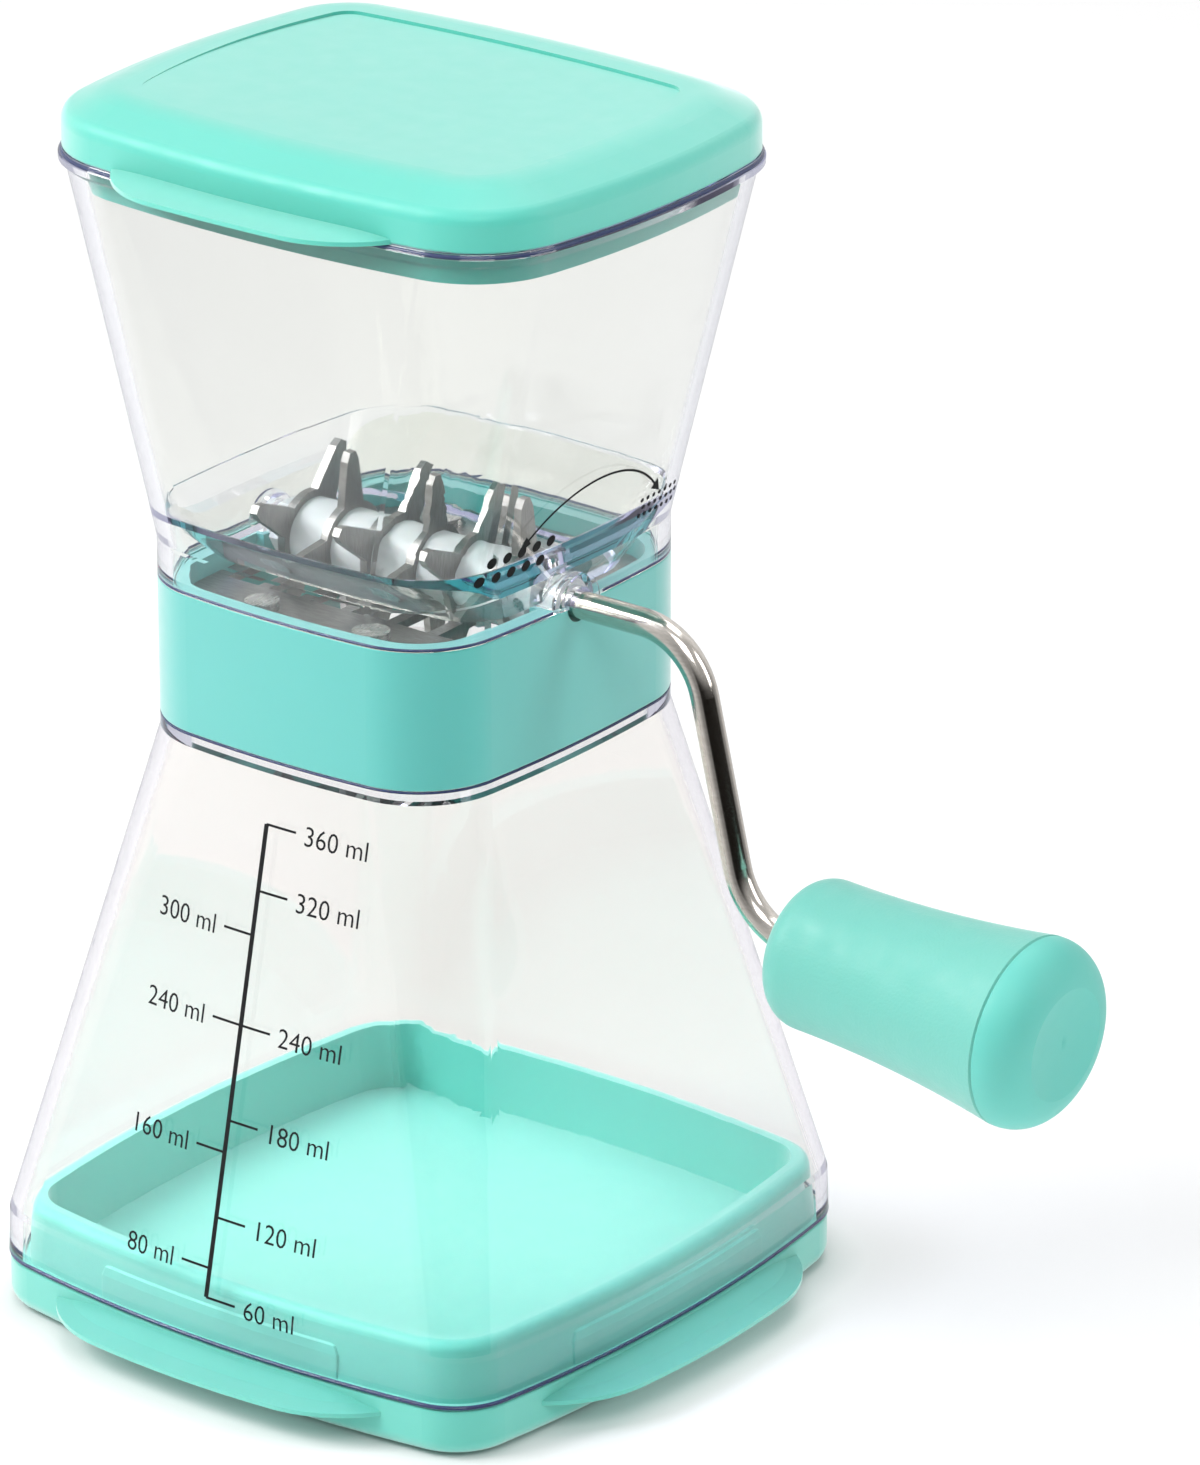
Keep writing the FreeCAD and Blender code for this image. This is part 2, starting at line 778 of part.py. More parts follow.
def make_grinder_frame():
    body = new_body("grinder_frame")
    top = shaft_level - size.frame_clearance
    block = outline_sketch(body, "block_outline", frame_outline, shelf_level)
    extrude(body, "block", block, top - shelf_level)
    well = outline_sketch(body, "well_outline", frame_outline.inset(size.frame_wall), top)
    extrude(body, "well", well, top - comb_level, cut=True)
    throat = outline_sketch(body, "throat_outline", throat_outline, comb_level)
    extrude(body, "throat", throat, comb_level - shelf_level, cut=True)
    add_bearing_block(body, "front_bearing", 1)
    add_bearing_block(body, "rear_bearing", -1)
    way = rod_way_circle(body, "rod_way_circle")
    extrude(body, "rod_way", way, neck_outline.half_x, cut=True, reverse=True)
    seat_start = bush_face + size.front_bush_length
    seat = new_sketch(body, "bush_seat_circle", "YZ_Plane", level=seat_start)
    draw_circle(seat, 0, shaft_level, size.bush_radius + size.bush_play)
    extrude(body, "bush_seat", seat, seat_start + neck_outline.half_x, cut=True)
    pilot = new_sketch(body, "comb_pilot_circles", level=comb_level)
    draw_circles(pilot, screw_places(size.comb_screw_x, size.comb_screw_y), size.screw_radius)
    extrude(body, "comb_pilots", pilot, size.screw_bite, cut=True)
    under = new_sketch(body, "frame_pilot_circles", level=shelf_level)
    draw_circles(under, screw_places(size.frame_screw_x, size.frame_screw_y), size.screw_radius)
    extrude(body, "frame_pilots", under, size.screw_bite, cut=True, reverse=True)


def finger_gaps(finger, per_gap, side_gap):
    """The left and right edge of each opening between neighbouring fingers."""
    gaps = []
    between = size.plate_pitch - size.plate_thickness
    room = (between - finger * per_gap) / (per_gap + 1)
    left = -rotor_half - side_gap
    for plate in range(int(size.plate_count.value) - 1):
        start = -rotor_half + size.plate_thickness + size.plate_pitch * plate
        for count in range(per_gap):
            right = start + room * (count + 1) + finger * count
            gaps.append((left, right))
            left = right + finger
    gaps.append((left, rotor_half + side_gap))
    return gaps


def make_comb(name, gaps, side):
    """A flat steel comb whose fingers reach in towards the rotor's spacers."""
    body = new_body(name)
    plate = frame_outline.inset(size.frame_wall + size.comb_gap)
    blank = outline_sketch(body, "blank_outline", plate, comb_level)
    extrude(body, "blank", blank, size.comb_thickness)
    top = comb_level + size.comb_thickness
    beyond_x, beyond_y = plate.half_x + size.comb_gap, (plate.half_y + size.comb_gap) * -side
    tip, root = size.comb_tip * side, size.comb_root * side
    corners = [(-beyond_x, beyond_y), (-beyond_x, tip)]
    for left, right in gaps:
        corners += [(left, tip), (left, root), (right, root), (right, tip)]
    corners += [(beyond_x, tip), (beyond_x, beyond_y)]
    slots = draw_path(new_sketch(body, "slot_outline", level=top), corners)
    extrude(body, "slots", slots, size.comb_thickness, cut=True)
    holes = new_sketch(body, "comb_hole_circles", level=top)
    places = [(size.comb_screw_x, size.comb_screw_y * side), (-size.comb_screw_x, size.comb_screw_y * side)]
    draw_circles(holes, places, size.screw_radius + size.screw_hole_play)
    extrude(body, "comb_holes", holes, size.comb_thickness, cut=True)


def make_screws(name, places, head_level, up):
    """Pan-head screws as one group. up is 1 where the heads are on top and -1 where they are below."""
    screws = []
    turn = Rotation() if up > 0 else Rotation(Vector(1, 0, 0), 180)
    grip = size.comb_thickness if up > 0 else size.shelf_thickness
    for count, (x, y) in enumerate(places, start=1):
        head = doc.addObject("Part::Cylinder", "%s_head_%d" % (name, count))
        bind(head, Radius=size.screw_head_radius, Height=size.screw_head_height)
        place(head, x, y, head_level, turn)
        shank = doc.addObject("Part::Cylinder", "%s_shank_%d" % (name, count))
        bind(shank, Radius=size.screw_radius, Height=size.screw_bite + grip)
        place(shank, x, y, head_level - (size.screw_bite + grip if up > 0 else 0), Rotation())
        screw = doc.addObject("Part::MultiFuse", "%s_%d" % (name, count))
        screw.Shapes = [head, shank]
        screws.append(screw)
    group = doc.addObject("Part::Compound", name)
    group.Label = name
    group.Links = screws
    parts.append(group)


# Hopper and lid


def add_funnel(body):
    """The sloping floor that leads down to the rotor, and then its underside."""
    mouth_level = shaft_level + size.funnel_lift
    top = shaft_level + size.funnel_rise
    wall = hopper_section(top)
    solid = [(mouth_level, mouth_outline.inset(-size.funnel_wall)), (top, wall.inset(size.hopper_wall / 2))]
    loft(body, "funnel", solid)
    hollow = [(mouth_level, mouth_outline), (top, wall.inset(size.hopper_wall + size.funnel_step))]
    loft(body, "funnel_inside", hollow, cut=True)


def add_shaft_boss(body):
    """Half bosses over both bushes, with the rod's way out on the crank side."""
    inner = bush_face + size.funnel_wall / 4
    for name, side, length in (
        ("front_boss", 1, neck_outline.half_x + size.boss_proud - inner),
        ("rear_boss", -1, neck_outline.half_x - size.hopper_wall / 2 - inner),
    ):
        sketch = new_sketch(body, name + "_circle", "YZ_Plane", level=inner * side)
        draw_circle(sketch, 0, shaft_level, size.boss_radius)
        extrude(body, name, sketch, length, reverse=side < 0)
    seat_start = bush_face + size.front_bush_length
    seat = new_sketch(body, "boss_seat_circle", "YZ_Plane", level=seat_start)
    draw_circle(seat, 0, shaft_level, size.bush_radius + size.bush_play)
    seat_end = neck_outline.half_x - size.hopper_wall + size.bush_play
    extrude(body, "boss_seat", seat, seat_start + seat_end, cut=True)
    way = rod_way_circle(body, "boss_way_circle")
    extrude(body, "boss_way", way, neck_outline.half_x + size.boss_radius, cut=True, reverse=True)
    trim = outline_sketch(body, "trim_outline", neck_outline.inset(-size.boss_radius), shaft_level)
    extrude(body, "trim", trim, size.boss_radius + size.boss_proud, cut=True)


def make_hopper():
    body = new_body("hopper")
    bead_level = brim_level - size.brim_bead_height
    below_bead = hopper_section(bead_level)
    outside = [(shaft_level, neck_outline), (flare_level, neck_outline), (bead_level, below_bead)]
    loft(body, "outside", outside)
    widest = brim_outline.inset(-size.brim_bead_proud)
    bead = [
        (bead_level, below_bead),
        (bead_level + size.brim_bead_round, widest),
        (brim_level - size.brim_bead_round, widest),
        (brim_level, brim_outline),
    ]
    loft(body, "bead", bead)
    wall = size.hopper_wall
    inside = [
        (shaft_level, neck_outline.inset(wall)),
        (flare_level, neck_outline.inset(wall)),
        (brim_level, brim_outline.inset(wall)),
    ]
    loft(body, "inside", inside, cut=True)
    add_funnel(body)
    add_shaft_boss(body)


def add_lid_tab(body):
    """The lift tab on the side of the scale: a thin lip that rises and widens towards the lid's side."""
    lip_top = brim_level + size.lid_tab_edge
    wide = size.lid_tab_half_length + size.lid_tab_flare
    steps = [
        (brim_level, size.lid_tab_half_length, size.lid_tab_reach),
        (lip_top, size.lid_tab_half_length, size.lid_tab_reach),
        (lip_top + size.lid_tab_rise, wide, -size.lid_foot_radius),
    ]
    sections = []
    for level, half, reach in steps:
        depth = (brim_outline.half_y + reach) / 2
        bar = Outline(half, depth, size.lid_tab_corner, size.lid_tab_bow, size.lid_tab_bow)
        sections.append((level, bar, -depth))
    loft(body, "lid_tab", sections)


def make_lid():
    body = new_body("lid")
    slab_outline = outline_sketch(body, "slab_outline", brim_outline, brim_level)
    slab = extrude(body, "slab", slab_outline, size.lid_height)
    slope = chamfer(body, "slope", slab, lid_level, size.lid_height - size.lid_side, size.lid_slope)
    side_edge = fillet(body, "side_edge", slope, brim_level + size.lid_side, size.lid_edge_radius)
    top_edge = fillet(body, "top_edge", side_edge, lid_level, size.lid_top_radius)
    fillet(body, "foot_edge", top_edge, brim_level, size.lid_foot_radius)
    add_lid_tab(body)
    fit = size.hopper_wall + size.seat_clearance
    plug_top, plug_foot = brim_outline.inset(fit), hopper_section(plug_level).inset(fit)
    loft(body, "plug", [(plug_level, plug_foot), (brim_level, plug_top)])
    ceiling = lid_level - size.panel_depth * 2 - size.lid_skin
    hollow = outline_sketch(body, "hollow_outline", plug_foot.inset(size.plug_wall), plug_level)
    extrude(body, "hollow", hollow, ceiling - plug_level, cut=True, reverse=True)
    panel_level = lid_level - size.panel_depth
    panel = new_sketch(body, "panel_outline", level=panel_level, tilt=-size.panel_tilt)
    panel_outline = Outline(
        size.panel_half_x, size.panel_half_y, size.panel_corner, size.panel_bow_x, size.panel_bow_y
    )
    draw_outline(panel, panel_outline)
    extrude(body, "panel", panel, size.lid_height / 2, cut=True, reverse=True)


# Rotor, on the shaft's own axis


def on_shaft(body, x=0, turn=0):
    place(body, x=x, z=shaft_level, rotation=Rotation(Vector(1, 0, 0), turn))


def make_tine_plate(number):
    """A stamped star: a disc with blunt tines, on a hexagonal hole."""
    body = new_body("tine_plate_%d" % number)
    start = -rotor_half + size.plate_pitch * (number - 1)
    disc = draw_circle(new_sketch(body, "disc_circle", "YZ_Plane"), 0, 0, size.plate_disc_radius)
    extrude(body, "disc", disc, size.plate_thickness)
    root, tip = size.tine_root_width / 2, size.tine_tip_width / 2
    shoulder = size.rotor_radius - size.tine_tip_width / 2
    inner = size.plate_disc_radius / 2
    corners = [(-root, inner), (root, inner), (tip, shoulder), (tip / 2, size.rotor_radius)]
    corners += [(-tip / 2, size.rotor_radius), (-tip, shoulder)]
    tine_outline = draw_path(new_sketch(body, "tine_outline", "YZ_Plane"), corners)
    tine = extrude(body, "tine", tine_outline, size.plate_thickness)
    pattern = body.newObject("PartDesign::PolarPattern", "tines")
    pattern.Originals = [tine]
    pattern.Axis = (origin_part(body, "X_Axis"), [""])
    pattern.Angle = 360
    bind(pattern, Occurrences=size.tine_count)
    body.Tip = pattern
    hole = draw_hexagon(new_sketch(body, "hole_outline", "YZ_Plane"), size.hub_across_flats)
    extrude(body, "hole", hole, size.plate_thickness, cut=True, reverse=True)
    on_shaft(body, x=start, turn=60 * (number % 2))


def make_spacer(number):
    body = new_body("spacer_%d" % number)
    start = -rotor_half + size.plate_pitch * (number - 1) + size.plate_thickness
    length = size.plate_pitch - size.plate_thickness
    ring = draw_circle(new_sketch(body, "ring_circle", "YZ_Plane"), 0, 0, size.spacer_radius)
    extrude(body, "ring", ring, length)
    hole = draw_hexagon(new_sketch(body, "hole_outline", "YZ_Plane"), size.hub_across_flats)
    extrude(body, "hole", hole, length, cut=True, reverse=True)
    on_shaft(body, x=start)


def make_rotor_hub():
    body = new_body("rotor_hub")
    core = new_sketch(body, "core_outline", "YZ_Plane", level=-rotor_half)
    extrude(body, "core", draw_hexagon(core, size.hub_across_flats), rotor_half * 2)
    flange = new_sketch(body, "flange_circle", "YZ_Plane", level=rotor_half)
    extrude(body, "flange", draw_circle(flange, 0, 0, size.flange_radius), size.flange_length)
    spigot = new_sketch(body, "spigot_circle", "YZ_Plane", level=-rotor_half)
    draw_circle(spigot, 0, 0, size.hub_spigot_radius)
    extrude(body, "spigot", spigot, size.hub_spigot_length, reverse=True)
    bore = new_sketch(body, "bore_circle", "YZ_Plane", level=-rotor_half - size.hub_spigot_length)
    draw_circle(bore, 0, 0, size.rod_radius)
    whole = rotor_half * 2 + size.hub_spigot_length + size.flange_length
    extrude(body, "bore", bore, whole, cut=True, reverse=True)
    pin = new_sketch(body, "pin_circle", "XZ_Plane", level=-size.flange_radius)
    draw_circle(pin, rotor_half + size.flange_length / 2, 0, size.drive_pin_radius)
    extrude(body, "pin_hole", pin, size.flange_radius * 2, cut=True, reverse=True)
    on_shaft(body)


def make_rotor_nut():
    body = new_body("rotor_nut")
    outside = draw_hexagon(new_sketch(body, "nut_outline", "YZ_Plane"), size.nut_across_flats)
    extrude(body, "nut", outside, size.nut_length)
    bore = draw_circle(new_sketch(body, "bore_circle", "YZ_Plane"), 0, 0, size.hub_spigot_radius)
    extrude(body, "bore", bore, size.nut_length, cut=True, reverse=True)
    on_shaft(body, x=-rotor_half - size.nut_length)


def make_drive_pin():
    pin = doc.addObject("Part::Cylinder", "drive_pin")
    pin.Label = "drive_pin"
    bind(pin, Radius=size.drive_pin_radius, Height=size.flange_radius * 2 - size.bush_play * 2)
    along_y = Rotation(Vector(1, 0, 0), -90)
    middle = rotor_half + size.flange_length / 2
    place(pin, middle, -size.flange_radius + size.bush_play, shaft_level, along_y)
    parts.append(pin)


ALONG_X = Rotation(Vector(0, 1, 0), 90)


def make_ring(name, start, length, outer, inner):
    """A plain ring on the shaft's axis."""
    shapes = []
    for label, radius in (("outer", outer), ("inner", inner)):
        cylinder = doc.addObject("Part::Cylinder", "%s_%s" % (name, label))
        bind(cylinder, Radius=radius, Height=length)
        place(cylinder, start, 0, shaft_level, ALONG_X)
        shapes.append(cylinder)
    ring = doc.addObject("Part::Cut", name)
    ring.Label = name
    ring.Base, ring.Tool = shapes
    return ring


def make_bushes():
    bore = size.rod_radius + size.bush_play
    parts.append(make_ring("shaft_bush_front", bush_face, size.front_bush_length, size.bush_radius, bore))
    rear_start = -bush_face - size.rear_bush_length
    parts.append(make_ring("shaft_bush_rear", rear_start, size.rear_bush_length, size.bush_radius, bore))


def make_shaft_clip():
    start = -clip_face - size.clip_thickness
    ring = make_ring("clip_ring", start, size.clip_thickness, size.clip_radius, size.clip_groove_radius)
    slot = doc.addObject("Part::Box", "clip_slot")
    bind(slot, Length=size.clip_thickness, Width=size.clip_slot, Height=size.clip_radius)
    place(slot, start, -size.clip_slot / 2, shaft_level - size.clip_radius)
    clip = doc.addObject("Part::Cut", "shaft_clip")
    clip.Label = "shaft_clip"
    clip.Base, clip.Tool = ring, slot
    parts.append(clip)


# Crank and grip


def crank_path():
    """The rod's centre line: shaft, bend, leaning arm, bend, handle pin."""
    crank_leg = size.crank_bend * tangent(crank_turn / 2)
    handle_leg = size.handle_bend * tangent(handle_turn / 2)
    corners = [
        (-shaft_end, sized(0)),
        (size.crank_corner_x - crank_leg, sized(0)),
        (size.crank_corner_x + crank_leg * arm_x, crank_leg * arm_z),
        (handle_corner_x - handle_leg * arm_x, handle_corner_z - handle_leg * arm_z),
        (handle_corner_x + handle_leg * handle_x, handle_corner_z + handle_leg * handle_z),
        (handle_corner_x + pin_end * handle_x, handle_corner_z + pin_end * handle_z),
    ]
    bends = {1: (size.crank_bend, -1), 3: (size.handle_bend, 1)}
    return corners, bends


def make_crank_rod():
    body = new_body("crank_rod")
    corners, bends = crank_path()
    path = draw_path(new_sketch(body, "rod_path", "XZ_Plane"), corners, bends, closed=False)
    section = new_sketch(body, "rod_section", "YZ_Plane", level=-shaft_end)
    draw_circle(section, 0, 0, size.rod_radius)
    pipe = body.newObject("PartDesign::AdditivePipe", "rod")
    pipe.Profile = section
    pipe.Spine = path
    groove_start = -clip_face - size.clip_thickness
    floor, top = size.clip_groove_radius, size.rod_radius * 2
    corners = [(groove_start, floor), (-clip_face, floor), (-clip_face, top), (groove_start, top)]
    revolve(body, "clip_groove", draw_path(new_sketch(body, "groove_outline", "XZ_Plane"), corners), cut=True)
    pin = new_sketch(body, "pin_circle", "XZ_Plane", level=-size.rod_radius * 2)
    draw_circle(pin, rotor_half + size.flange_length / 2, 0, size.drive_pin_radius)
    extrude(body, "pin_hole", pin, size.rod_radius * 4, cut=True, reverse=True)
    on_shaft(body)


def on_handle(body, along):
    """Put a part that is turned about its own X axis on the handle pin, at a distance past the corner."""
    place(
        body,
        x=handle_corner_x + along * handle_x,
        z=shaft_level + handle_corner_z + along * handle_z,
        rotation=Rotation(Vector(0, 1, 0), size.handle_tilt.value),
    )


def make_grip():
    body = new_body("grip")
    bore = size.rod_radius + size.grip_play
    shelf = size.grip_length - size.grip_counterbore_depth
    corners = [
        (0, bore),
        (shelf, bore),
        (shelf, size.grip_counterbore),
        (size.grip_length, size.grip_counterbore),
        (size.grip_length, size.grip_outer_radius - size.grip_seam_bevel),
        (size.grip_length - size.grip_seam_bevel, size.grip_outer_radius),
        (size.grip_inner_round, size.grip_inner_radius),
        (0, size.grip_inner_radius - size.grip_inner_round),
    ]
    bends = {5: (size.grip_waist_bow, -1), 6: (size.grip_inner_round, 1)}
    sketch = draw_path(new_sketch(body, "barrel_profile", "XZ_Plane"), corners, bends)
    revolve(body, "barrel", sketch)
    on_handle(body, size.grip_start)


def make_grip_cap():
    body = new_body("grip_cap")
    crest = size.cap_crest
    dish = size.cap_dish_radius
    sag = dish - square_root(dish * dish - size.cap_crest_radius * size.cap_crest_radius)
    plug = size.grip_counterbore - size.grip_play
    corners = [
        (-size.cap_plug_length, 0),
        (crest - sag, 0),
        (crest, size.cap_crest_radius),
        (size.grip_seam_bevel, size.grip_outer_radius),
        (0, size.grip_outer_radius - size.grip_seam_bevel),
        (0, plug),
        (-size.cap_plug_length, plug),
    ]
    bends = {1: (dish, -1), 2: (size.cap_edge_radius, 1)}
    sketch = draw_path(new_sketch(body, "cap_profile", "XZ_Plane"), corners, bends)
    revolve(body, "cap", sketch)
    on_handle(body, size.grip_start + size.grip_length)


def make_grip_retainer():
    body = new_body("grip_retainer")
    inner, outer, wide = size.rod_radius, size.retainer_radius, size.retainer_thickness
    corners = [(0, inner), (wide, inner), (wide, outer), (0, outer)]
    sketch = draw_path(new_sketch(body, "washer_profile", "XZ_Plane"), corners)
    revolve(body, "washer", sketch)
    on_handle(body, size.grip_start + retainer_place)


def make_all():
    make_foot_pad()
    make_base_cap()
    make_jar()
    make_collar()
    make_hopper()
    make_lid()
    make_grinder_frame()
    make_comb("coarse_comb", finger_gaps(size.coarse_finger, 1, size.coarse_side_gap), -1)
    make_comb("fine_comb", finger_gaps(size.fine_finger, 2, size.fine_side_gap), 1)
    comb_places = screw_places(size.comb_screw_x, size.comb_screw_y)
    make_screws("comb_screws", comb_places, comb_level + size.comb_thickness, 1)
    frame_places = screw_places(size.frame_screw_x, size.frame_screw_y)
    make_screws("frame_screws", frame_places, shelf_level - size.shelf_thickness, -1)
    make_bushes()
    make_shaft_clip()
    make_crank_rod()
    make_rotor_hub()
    for number in range(1, int(size.plate_count.value) + 1):
        make_tine_plate(number)
    for number in range(1, int(size.plate_count.value)):
        make_spacer(number)
    make_rotor_nut()
    make_drive_pin()
    make_grip()
    make_grip_cap()
    make_grip_retainer()


def check_and_write():
    """Stop if any object failed, then write each part to its own file."""
    doc.recompute()
    failed = [item.Name for item in doc.Objects if "Invalid" in item.State or "Error" in item.State]
    for part in parts:
        if part.Shape.isNull() or not part.Shape.isValid() or part.Shape.Volume <= 0:
            failed.append(part.Label)
    if failed:
        raise RuntimeError("these objects failed: " + ", ".join(failed))
    os.makedirs("parts", exist_ok=True)
    for part in parts:
        part.Shape.exportStep("parts/%s.step" % part.Label)


make_all()
check_and_write()
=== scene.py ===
"""A hand-cranked nut chopper, dressed for its studio photograph. Metres, +Z up, +X towards the crank."""

import json
import math
from collections import namedtuple

import bmesh
import bpy
from mathutils import Matrix, Vector
from mathutils.bvhtree import BVHTree


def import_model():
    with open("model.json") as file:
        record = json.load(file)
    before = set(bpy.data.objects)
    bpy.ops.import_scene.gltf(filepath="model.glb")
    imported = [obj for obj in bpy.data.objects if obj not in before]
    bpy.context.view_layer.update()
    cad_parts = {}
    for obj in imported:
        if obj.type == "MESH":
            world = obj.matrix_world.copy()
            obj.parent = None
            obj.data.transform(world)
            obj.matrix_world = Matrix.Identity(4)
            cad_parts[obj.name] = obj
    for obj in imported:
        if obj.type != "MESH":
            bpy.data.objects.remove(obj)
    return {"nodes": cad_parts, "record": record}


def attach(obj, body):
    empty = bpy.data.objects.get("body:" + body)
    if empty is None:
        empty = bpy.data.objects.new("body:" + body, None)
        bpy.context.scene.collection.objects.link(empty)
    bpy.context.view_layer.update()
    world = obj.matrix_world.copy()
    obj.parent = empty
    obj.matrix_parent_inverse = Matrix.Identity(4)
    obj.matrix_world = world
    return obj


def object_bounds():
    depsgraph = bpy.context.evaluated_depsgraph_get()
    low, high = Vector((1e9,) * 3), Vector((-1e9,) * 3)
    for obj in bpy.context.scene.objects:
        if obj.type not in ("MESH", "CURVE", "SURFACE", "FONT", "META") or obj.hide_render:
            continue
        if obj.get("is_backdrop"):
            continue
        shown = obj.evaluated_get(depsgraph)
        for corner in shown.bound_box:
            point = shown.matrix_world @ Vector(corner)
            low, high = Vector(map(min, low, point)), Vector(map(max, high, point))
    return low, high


MM = 0.001

# The camera that took the photograph
IMAGE_WIDTH = 1200
IMAGE_HEIGHT = 1465
CAMERA_AZIMUTH = math.radians(37.724)
CAMERA_ELEVATION = math.radians(22.076)
CAMERA_DISTANCE = 1126.92 * MM
CAMERA_FOCAL_PIXELS = 8453.69
CAMERA_SENSOR = 36.0
CAMERA_REACH = 20.0
TARGET_RIGHT = 24.4251 * MM
TARGET_HEIGHT = 80.2044 * MM

# The floor's own glow as the camera sees it and as matte things do; a painted contact shadow dims it close
# to what stands on it
FLOOR_SIZE = 12.0
FLOOR_COLOUR = (0.56, 0.56, 0.56)
FLOOR_ROUGHNESS = 0.9
FLOOR_GLOSS = 0.1
FLOOR_GLOW = 0.36
FLOOR_BOUNCE = 1.08
CONTACT_SHADE_REACH = 6.0 * MM
CONTACT_SHADE_SAMPLES = 4

# The room's brightness low and high, what its back adds, and the share of it that lights matte things.
# A span of heights or of turns towards the dark side says where a change starts and where it ends.
ROOM_LOW = 0.272
ROOM_HIGH = 0.560
ROOM_BACK = 0.480
ROOM_ON_MATTE = 0.06
ROOM_RISE = (-0.3, 0.9)
ROOM_TURN = (0.4, -0.2)

# The side that no lamp stands on, as it shows in steel and through clear plastic
DARK_SIDE = (0.927, -0.375, 0.0)
DARK_IN_STEEL = (0.035, 0.030, 0.026)
STEEL_TURN = (0.45, 0.66)
STEEL_RISE = (0.0, 0.45)
DARK_IN_PLASTIC = (0.16, 0.14, 0.24)
PLASTIC_TURN = (-0.2, 0.3)
PLASTIC_RISE = (0.2, 0.6)

# Soft lamps: where each stands, the height it aims at, its two sides, and its power
Lamp = namedtuple("Lamp", "place aim width height power")
LAMPS = {
    "key": Lamp((-0.9, -0.9, 1.2), 0.08, 0.9, 0.9, 31.0),
    "fill": Lamp((1.2, 0.5, 0.8), 0.08, 0.5, 0.9, 6.5),
    "top": Lamp((-0.1, 0.4, 1.5), 0.1, 1.0, 1.0, 10.0),
    "front": Lamp((0.7, -0.9, 1.4), 0.1, 0.8, 0.8, 11.5),
}

# Opaque plastics: two colours that drift into each other, the range of the roughness, sheen and grain
Plastic = namedtuple("Plastic", "colour deep roughness sheen grain", defaults=(0.0, 0.06))
PLASTICS = {
    "turquoise_plastic": Plastic((0.066, 0.415, 0.378), (0.060, 0.398, 0.362), (0.34, 0.46), 0.7),
    "grip_plastic": Plastic((0.124, 0.440, 0.374), (0.114, 0.422, 0.358), (0.46, 0.70), 0.3, 0.9),
    "cap_plastic": Plastic((0.104, 0.475, 0.412), (0.096, 0.458, 0.396), (0.48, 0.60), 0.1),
    "soft_turquoise": Plastic((0.092, 0.492, 0.408), (0.083, 0.474, 0.392), (0.45, 0.60), 0.7, 0.1),
    "lid_plastic": Plastic((0.060, 0.480, 0.390), (0.054, 0.460, 0.372), (0.40, 0.55), 0.8),
    "white_plastic": Plastic((0.62, 0.63, 0.62), (0.58, 0.59, 0.58), (0.35, 0.50)),
    "bush_plastic": Plastic((0.78, 0.79, 0.76), (0.72, 0.73, 0.70), (0.40, 0.55)),
    "foot_rubber": Plastic((0.050, 0.190, 0.175), (0.040, 0.160, 0.150), (0.60, 0.80), grain=0.3),
    # Painted shade: the dark violet of the thin rings laid along the clear walls' edges
    "painted_edge_shade": Plastic((0.036, 0.048, 0.120), (0.028, 0.039, 0.100), (0.10, 0.20), grain=0.02),
}
PLASTIC_IOR = 1.49
PLASTIC_SHEEN_ROUGHNESS = 0.5
PLASTIC_SHINE_THROUGH = 0.08
PLASTIC_SHINE_DEPTH = 2.0 * MM
PLASTIC_GRAIN_DEPTH = 0.05 * MM

# Clear plastics by their tint. Lamps reach what is inside through the film, and the depth is what light
# loses inside, which makes the edges violet.
CLEAR_PLASTICS = {"clear_plastic": (0.970, 0.975, 0.920), "jar_plastic": (0.998, 0.978, 0.925)}
CLEAR_IOR = 1.46
CLEAR_ROUGHNESS = (0.01, 0.035)
CLEAR_FILM = (0.93, 0.95, 0.96)
CLEAR_DEPTH_COLOUR = (0.167, 0.194, 0.667)
CLEAR_DEPTH_DENSITY = 36.0

# Blender gives up on a ray that is caught inside clear plastic, so it is let out after this many mirrorings
MIRRORINGS = 2.5

# Steels: two colours, the range of the roughness, and how densely fine lines cross each axis
Steel = namedtuple("Steel", "colour deep roughness lines")
STEELS = {
    "comb_steel": Steel((0.36, 0.35, 0.34), (0.28, 0.27, 0.26), (0.30, 0.46), (1, 8, 1)),
    "screw_steel": Steel((0.64, 0.63, 0.62), (0.55, 0.54, 0.53), (0.22, 0.34), (6, 1, 6)),
    "bright_rod": Steel((0.72, 0.68, 0.63), (0.62, 0.58, 0.53), (0.11, 0.20), (1, 6, 6)),
}
STEEL_LINE_STRENGTH = 0.08
STEEL_LINE_DEPTH = 0.02 * MM

INK_COLOUR = (0.004, 0.004, 0.004)
INK_WORN_COLOUR = (0.010, 0.010, 0.011)
INK_ROUGHNESS = 0.6
INK_GLOSS = 0.2

# Nodes whose finish differs a little from the rest of their slot
OWN_FINISHES = {"jar": "jar_plastic", "grip": "grip_plastic", "grip_cap": "cap_plastic"}

# Noise runs mostly between these two values
NOISE_SPAN = (0.3, 0.7)

# Printing ink stands this far off the clear plastic
INK_GAP = 0.03 * MM
INK_THICKNESS = 0.05 * MM
INK_STEP = 1.5 * MM
INK_WELD = 0.0005 * MM
DOT_SIDES = 16

# Blender's own font: the height of a figure and how far its strokes are thinned, as shares of its size
FIGURE_HEIGHT = 0.73
FIGURE_THINNING = 0.006
FIGURE_CURVE_STEPS = 3

# The jar's measuring scale, in millilitres and in heights above the table
SCALE_FOOT = 14.1
SCALE_TOP = 77.3
SCALE_RIGHT = {60: 14.1, 120: 24.9, 180: 37.9, 240: 50.6, 320: 68.5, 360: 77.3}
SCALE_LEFT = {80: 18.0, 160: 33.6, 240: 50.6, 300: 62.6}
SCALE_SPINE_WIDTH = 0.7
SCALE_TICK_WIDTH = 0.32
SCALE_TICK_REACH = 4.9
SCALE_LABEL_GAP = 1.3
SCALE_LABEL_HEIGHT = 2.75

